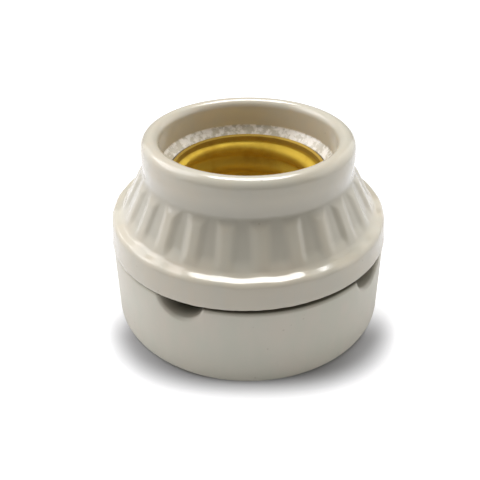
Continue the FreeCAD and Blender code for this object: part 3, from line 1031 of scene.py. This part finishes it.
@dataclass
class ScrewShell:
    """Rolled brass shell with the lamp's round thread."""

    finish: Metal
    pitch: float = 3.629
    major: float = 13.35
    minor: float = 12.25
    sheet: float = 0.35
    foot: float = 9.4
    neck_top: float = 11.4
    thread_foot: float = 12.4
    first_groove: float = 14.3
    band_foot: float = 25.6
    top: float = 26.7
    curl: float = 0.25
    steps: int = 216

    def rolled(self, at: Vector) -> Vector:
        """Rolls the thread into the plain drum.

        Args:
            at: a place on the drum, in millimetres.

        Returns:
            Where it goes.
        """
        r = math.hypot(at.x, at.y)
        if at.z <= self.thread_foot + 0.01 or r < 12.0:
            return at
        turn = math.atan2(at.y, at.x) / math.tau % 1.0
        phase = (at.z - self.first_groove) / self.pitch - turn
        wave = 0.5 + 0.5 * math.cos(math.tau * phase)
        wave *= step_between(self.thread_foot - 0.2, self.thread_foot + 1.4, at.z)
        wave += (1.0 - wave) * step_between(self.band_foot - 0.75, self.band_foot, at.z)
        curl = self.curl * step_between(self.top - 0.35, self.top, at.z) ** 2
        radius = self.minor + (self.major - self.minor) * wave + curl
        return Vector((at.x / r * radius, at.y / r * radius, at.z))

    def openings(self) -> list[Shape]:
        """D-shaped hole for the floor's island, and the screw's hole.

        Returns:
            The shapes to cut away.
        """
        below, above = self.foot - 0.4, self.foot + 1.0
        screw_hole = bore([(SCREW_HOLE_R, below, above)], x=-POLE_X)
        return [half_drum(10.9, below, above, flat_x=-3.5), screw_hole]

    def build(self) -> None:
        """Makes the shell and ties it to the frame."""
        shape = Shape().wire([
            (0.0, self.foot + self.sheet, 0.0), (11.6, self.foot + self.sheet, 0.6),
            (11.6, self.neck_top, 0.4), (self.minor, self.thread_foot, 0.3),
            (self.minor, self.top, 0.0),
        ], 5)
        shape.rows(0.12, lambda at: at.z > self.thread_foot - 0.4)
        shape.rows(2.0, lambda at: at.z < self.foot + 1.0)
        shape.spin(self.steps)
        shape.push(self.rolled)
        shape.thicken(self.sheet, lambda face: face.normal.dot(face.calc_center_median() * LEVEL))
        obj = shape.object("brass_screw_shell")
        cut(obj, self.openings(), Cut.REMOVE)
        finish_piece(obj, self.finish.material(), Body.HOLDER, "screw_shell")


@dataclass
class SlottedScrew:
    """Round-headed brass screw with a saw-cut slot and a rolled thread."""

    name: str
    node: str
    body: Body
    stands: Sequence[Span]
    head_r: float
    head_h: float
    shank_r: float
    length: float
    turn: float
    slot_w: float = 0.8
    slot_depth: float = 0.9
    pitch: float = 0.7
    groove: float = 0.26
    next_turn: float = 0.9

    def one(self, seat: float) -> Shape:
        """One screw on the holder's axis.

        Args:
            seat: height of its head's underside, in millimetres.

        Returns:
            The closed shape, without its slot.
        """
        shape = Shape().wire([
            (0.0, seat - self.length, 0.0), (self.shank_r - 0.35, seat - self.length, 0.0),
            (self.shank_r, seat - self.length + 0.35, 0.0), (self.shank_r, seat, 0.0),
            (self.head_r, seat, 0.18), (self.head_r, seat + self.head_h * 0.7, 0.5),
            (self.head_r * 0.6, seat + self.head_h, 1.6), (0.0, seat + self.head_h, 0.0),
        ], 5)
        shape.rows(self.pitch / 7, lambda at: at.x > self.shank_r - 0.1 and at.z < seat - 0.1)
        shape.spin(40)

        def thread(at: Vector) -> Vector:
            """Presses the thread's groove into the shank.

            Args:
                at: a place on the plain screw, in millimetres.

            Returns:
                Where it goes.
            """
            r = math.hypot(at.x, at.y)
            if not self.shank_r - 0.01 < r < self.shank_r + 0.01 or at.z > seat - 0.25:
                return at
            phase = at.z / self.pitch - math.atan2(at.y, at.x) / math.tau
            depth = self.groove * 0.5 * (1.0 + math.cos(math.tau * phase))
            return Vector((at.x * (1 - depth / r), at.y * (1 - depth / r), at.z))

        return shape.push(thread)

    def build(self, material: bpy.types.Material) -> None:
        """Makes one mesh with every screw of the set and ties it to the frame.

        Args:
            material: their finish.
        """
        whole = Shape()
        slots = []
        for number, (x, seat) in enumerate(self.stands):
            turn = Matrix.Rotation(self.turn + self.next_turn * number, 4, "Z")
            place = Matrix.Translation(Vector((x, 0.0, 0.0)) * MM) @ turn
            part = self.one(seat).move(place)
            mesh = bpy.data.meshes.new("part")
            part.bm.to_mesh(mesh)
            part.bm.free()
            whole.bm.from_mesh(mesh)
            bpy.data.meshes.remove(mesh)
            top = seat + self.head_h
            low = (-9.0, -self.slot_w / 2, top - self.slot_depth)
            slots.append(Shape().box(low, (9.0, self.slot_w / 2, top + 1)).move(place))
        obj = whole.weld().object(self.name)
        for slot in slots:
            cut(obj, [slot], Cut.REMOVE)
        finish_piece(obj, material, self.body, self.node)


@dataclass
class CentreContact:
    """Sprung brass strip with the domed button riveted to its end."""

    strip_finish: Metal
    button_finish: Metal
    foot_x: float = 9.9
    foot_r: float = 2.7
    half_w: float = 2.3
    tip_x: float = -3.2
    ramp: Span = (4.3, 1.9)
    low: float = 9.4
    high: float = 10.9
    sheet: float = 0.5

    def path(self, x: float) -> float:
        """Height of the strip's underside.

        Args:
            x: a place along the strip, in millimetres.

        Returns:
            The height there.
        """
        rise = step_between(self.ramp[0], self.ramp[1], x) * (self.high - self.low)
        drop = 0.6 * max(0.0, (self.tip_x + 0.9 - x) / 0.9) ** 1.6
        return self.low + rise - drop

    def half(self, x: float) -> float:
        """Half width of the strip at x."""
        round_end = math.sqrt(max(0.0, self.foot_r ** 2 - (x - POLE_X) ** 2))
        return round_end if x > POLE_X else max(self.half_w, round_end)

    def strip(self) -> None:
        """Makes the strip, shaped with its bend, and puts it in place of the CAD strip."""
        shape = Shape()
        bmesh.ops.create_grid(shape.bm, x_segments=96, y_segments=10, size=1.0)

        def lay(at: Vector) -> Vector:
            """Lays the flat grid along the strip's path.

            Args:
                at: a place on the grid, from -1 to 1 metre each way.

            Returns:
                Where it goes, in millimetres.
            """
            share = (at.x * MM + 1.0) / 2.0
            x = self.tip_x + share * (self.foot_x - self.tip_x)
            return Vector((x, at.y * MM * self.half(x), self.path(x)))

        shape.push(lay)
        shape.weld().thicken(self.sheet, lambda face: face.normal.z)
        obj = shape.object("contact_spring_strip")
        dress(obj, self.strip_finish.material())
        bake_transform(obj)
        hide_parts("contact_strip")
        LOG.info("%s: %d faces", obj.name, len(obj.data.polygons))

    def button(self) -> None:
        """Makes the button and ties it to the contact."""
        obj = turned([
            (0.0, 10.5, 0.0), (1.7, 10.5, 0.2), (1.7, 10.9, 0.1), (1.0, 10.9, 0.0),
            (1.0, 11.4, 0.0), (2.8, 11.4, 0.12), (2.8, 11.72, 0.15), (2.0, 12.22, 1.2),
            (0.8, 12.4, 1.5), (0.0, 12.4, 0.0),
        ], 72, segments=5).object("contact_button_dome")
        finish_piece(obj, self.button_finish.material(), Body.CONTACT,
                     "contact_button")


# ------------ studio


@dataclass
class Studio:
    """Pale floor, soft lamps, plain world and the camera."""

    floor_colour: Colour = (0.80, 0.80, 0.81)
    # painted shadow colour, which only the camera sees
    shadow_colour: Colour = (0.43, 0.43, 0.445)
    sky: Colour = (1.0, 0.99, 0.97)
    azimuth: float = -14.5
    elevation: float = 31.914
    distance: float = 96.49
    aim_z: float = 16.83
    lens: float = 38.865
    shift: Span = (-0.0172, -0.0563)
    shadow_shift: Corner = (-0.0006, 0.0, 0.0)
    shadow_square: float = 3.0
    shadow_edge: Span = (0.0233, 0.0295)
    shadow_back: Span = (-0.016, -0.004)
    clearing: float = 0.8

    def floor(self) -> None:
        """A round floor that stays white to the camera, with a painted shadow round the holder on
        top of its real shadow.
        """
        shape = Shape()
        bmesh.ops.create_circle(shape.bm, cap_ends=True, segments=96, radius=2.5)
        obj = shape.object("studio_floor")
        g = Graph(bpy.data.materials.new("studio floor"))
        at = g.place()
        seen = g.node("ShaderNodeLightPath", {}, {}).out("Is Camera Ray")
        ahead = g.node("ShaderNodeMapping", {}, {
            "Vector": at, "Location": self.shadow_shift,
            "Rotation": (0.0, 0.0, -math.radians(self.azimuth)),
        }).out(0)
        parts = g.node("ShaderNodeSeparateXYZ", {}, {0: ahead})
        across, away = parts.out("X"), parts.out("Y")
        # painted shadow: a squared ring round the holder, fading out behind it, outside which the
        # floor is whitened for the camera
        power = self.shadow_square / 2
        far = ((across * across) ** power + (away * away) ** power) ** (0.5 / power)
        shade = (1.0 - far.between(*self.shadow_edge)) * (1.0 - away.between(*self.shadow_back))
        white = (1.0 - shade) * self.clearing
        tone = g.noise(at, 0.05, 2.0, 0.5) * 0.3
        colour = g.mix(tone, self.floor_colour, (0.82, 0.82, 0.83))
        # painted shadow: to the camera the floor takes the darker shadow colour, which the white
        # glow covers outside the ring
        colour = g.mix(seen * 0.9, colour, self.shadow_colour)
        plain = g.node("ShaderNodeBsdfDiffuse", {}, {"Color": colour})
        lit = g.node("ShaderNodeEmission", {}, {"Color": WHITE, "Strength": seen * white})
        both = g.node("ShaderNodeAddShader", {}, {0: plain.out(0), 1: lit.out(0)})
        g.node("ShaderNodeOutputMaterial", {}, {"Surface": both.out(0)})
        dress(obj, g.owner)

    def world(self, level: float) -> None:
        """Even light from all round; white where the camera sees it.

        Args:
            level: the light's strength.
        """
        world = bpy.data.worlds.new("studio")
        bpy.context.scene.world = world
        g = Graph(world)
        seen = g.node("ShaderNodeLightPath", {}, {}).out("Is Camera Ray")
        plain = g.node("ShaderNodeBackground", {}, {"Color": self.sky, "Strength": level})
        white = g.node("ShaderNodeBackground", {}, {"Color": WHITE, "Strength": 1.0})
        mixed = g.node("ShaderNodeMixShader", {}, {0: seen, 1: plain.out(0), 2: white.out(0)})
        g.node("ShaderNodeOutputWorld", {}, {"Surface": mixed.out(0)})

    def lamp(self, name: str, place: Sequence[float], size: Span, watts: float,
             colour: Colour = WHITE) -> None:
        """One soft box that points at the holder.

        Args:
            name: the lamp's name.
            place: where it stands, in millimetres.
            size: its width and height in millimetres.
            watts: its power.
            colour: its colour.
        """
        data = bpy.data.lights.new(name, "AREA")
        data.shape = "RECTANGLE"
        data.size, data.size_y = size[0] * MM, size[1] * MM
        data.energy = watts
        data.color = colour
        obj = bpy.data.objects.new(name, data)
        obj.location = Vector(place) * MM
        aim = Vector((0.0, 0.0, self.aim_z)) * MM - obj.location
        obj.rotation_euler = aim.to_track_quat("-Z", "Y").to_euler()
        bpy.context.scene.collection.objects.link(obj)

    def from_camera(self, right: float, away: float, up: float) -> Corner:
        """A place as seen along the camera's azimuth, in millimetres.

        Args:
            right: how far to the right of the holder.
            away: how far behind it.
            up: how high.

        Returns:
            The place in the frame's own axes.
        """
        a = math.radians(self.azimuth)
        x = right * math.cos(a) - away * math.sin(a)
        y = right * math.sin(a) + away * math.cos(a)
        return x, y, up

    def camera(self) -> None:
        """The camera, aimed at the holder's middle."""
        data = bpy.data.cameras.new("camera")
        data.lens = self.lens
        data.sensor_width = 36.0
        data.shift_x, data.shift_y = self.shift
        data.clip_start, data.clip_end = 0.005, 20.0
        obj = bpy.data.objects.new("camera", data)
        a, e = math.radians(self.azimuth), math.radians(self.elevation)
        back = Vector((math.sin(a) * math.cos(e), -math.cos(a) * math.cos(e), math.sin(e)))
        obj.location = (Vector((0, 0, self.aim_z)) + back * self.distance) * MM
        obj.rotation_euler = (-back).to_track_quat("-Z", "Y").to_euler()
        bpy.context.scene.collection.objects.link(obj)
        bpy.context.scene.camera = obj

    def build(self) -> None:
        """Sets up the whole studio."""
        bpy.context.scene.view_settings.view_transform = "Standard"
        self.floor()
        self.world(0.235)
        place = self.from_camera
        self.lamp("left_wall", place(-480, 110, 170), (800, 560), 1.24)
        self.lamp("right_wall", place(490, 170, 160), (800, 560), 1.25, (1.0, 0.985, 0.95))
        self.lamp("left_high", place(-260, 90, 300), (260, 240), 0.50, (1.0, 0.98, 0.99))
        self.lamp("top_box", place(10, 115, 410), (250, 190), 1.46)
        self.camera()


# ------------ the whole holder


GLAZE_CAP = Glaze(
    "cap glaze", body=(0.605, 0.560, 0.455), warm=(0.625, 0.555, 0.445),
    cool=(0.575, 0.555, 0.475), speck=(0.380, 0.330, 0.240), pooled_glaze_and_shade=(0.500, 0.475, 0.400),
    sill=(0.94, 0.90, 0.83),
)
GLAZE_BASE = Glaze(
    "base glaze", body=(0.630, 0.605, 0.515), warm=(0.655, 0.595, 0.505),
    cool=(0.590, 0.595, 0.500), speck=(0.400, 0.360, 0.270), pooled_glaze_and_shade=(0.500, 0.480, 0.400),
    gloss=0.34, coat=0.20, ripple=0.00004,
)
SHELL_BRASS = Metal("rolled shell brass", (0.73, 0.55, 0.092), (0.62, 0.43, 0.064), 0.68,
                    grain=(0.25, 0.25, 3.0), marks=0.000003, stain_size=0.006,
                    lip=0.0254)
STRIP_BRASS = Metal("spring brass", (0.80, 0.60, 0.27), (0.60, 0.43, 0.17), 0.26)
BUTTON_BRASS = Metal("contact brass", (0.82, 0.63, 0.30), (0.62, 0.45, 0.20), 0.18)
SCREW_BRASS = Metal("screw brass", (0.79, 0.61, 0.30), (0.55, 0.40, 0.17), 0.24)
PLATE_BRASS = Metal("terminal brass", (0.78, 0.60, 0.28), (0.56, 0.41, 0.17), 0.30)
WASHER_STEEL = Metal("zinc plated steel", (0.62, 0.63, 0.64), (0.40, 0.41, 0.42), 0.28)


def dress_cad(frame: dict[str, Any]) -> None:
    """Gives each CAD node that stays in view its own finish.
    """
    plate, steel, pitch = PLATE_BRASS.material(), WASHER_STEEL.material(), Pitch().material()
    finishes = {"cap_screw_washers": steel, "plate_screw_washers": steel, "sealing_plugs": pitch}
    for side in ("left", "right"):
        for stem in ("terminal_plate_", "terminal_pillar_", "clamp_washer_"):
            finishes[stem + side] = plate
    for node, material in finishes.items():
        obj = frame["nodes"][node]
        dress(obj, material)
        smooth(obj, 35.0)
        LOG.info("%s keeps its CAD shape", node)


def build_screws(frame: dict[str, Any]) -> None:
    """Makes or dresses every screw of the holder.
    """
    brass = SCREW_BRASS.material()
    SlottedScrew(
        "cap_screw_pair", "cap_screws", Body.HOLDER, [(-POLE_X, 10.45), (POLE_X, 10.6)],
        head_r=2.7, head_h=1.7, shank_r=1.75, length=5.4, turn=0.5,
    ).build(brass)
    sides = ("left", Body.LEFT_SCREW, -BINDING_X), ("right", Body.RIGHT_SCREW, BINDING_X)
    for side, body, x in sides:
        SlottedScrew(
            f"binding_screw_{side}_turned", f"binding_screw_{side}", body, [(x, 6.8)],
            head_r=2.9, head_h=2.0, shank_r=1.75, length=3.7, turn=0.3,
        ).build(brass)
    dress(frame["nodes"]["plate_screws"], SCREW_BRASS.material())
    LOG.info("plate_screws keeps its CAD shape")


def main() -> None:
    """Builds the holder piece by piece and sets up the studio."""
    logging.basicConfig(level=logging.INFO, format="%(name)s: %(message)s")
    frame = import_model()
    dress_cad(frame)
    Studio().build()
    PorcelainCap(GLAZE_CAP).build()
    PorcelainBase(GLAZE_BASE).build()
    ScrewShell(SHELL_BRASS).build()
    contact = CentreContact(STRIP_BRASS, BUTTON_BRASS)
    contact.strip()
    contact.button()
    build_screws(frame)


if __name__ == "__main__":
    main()
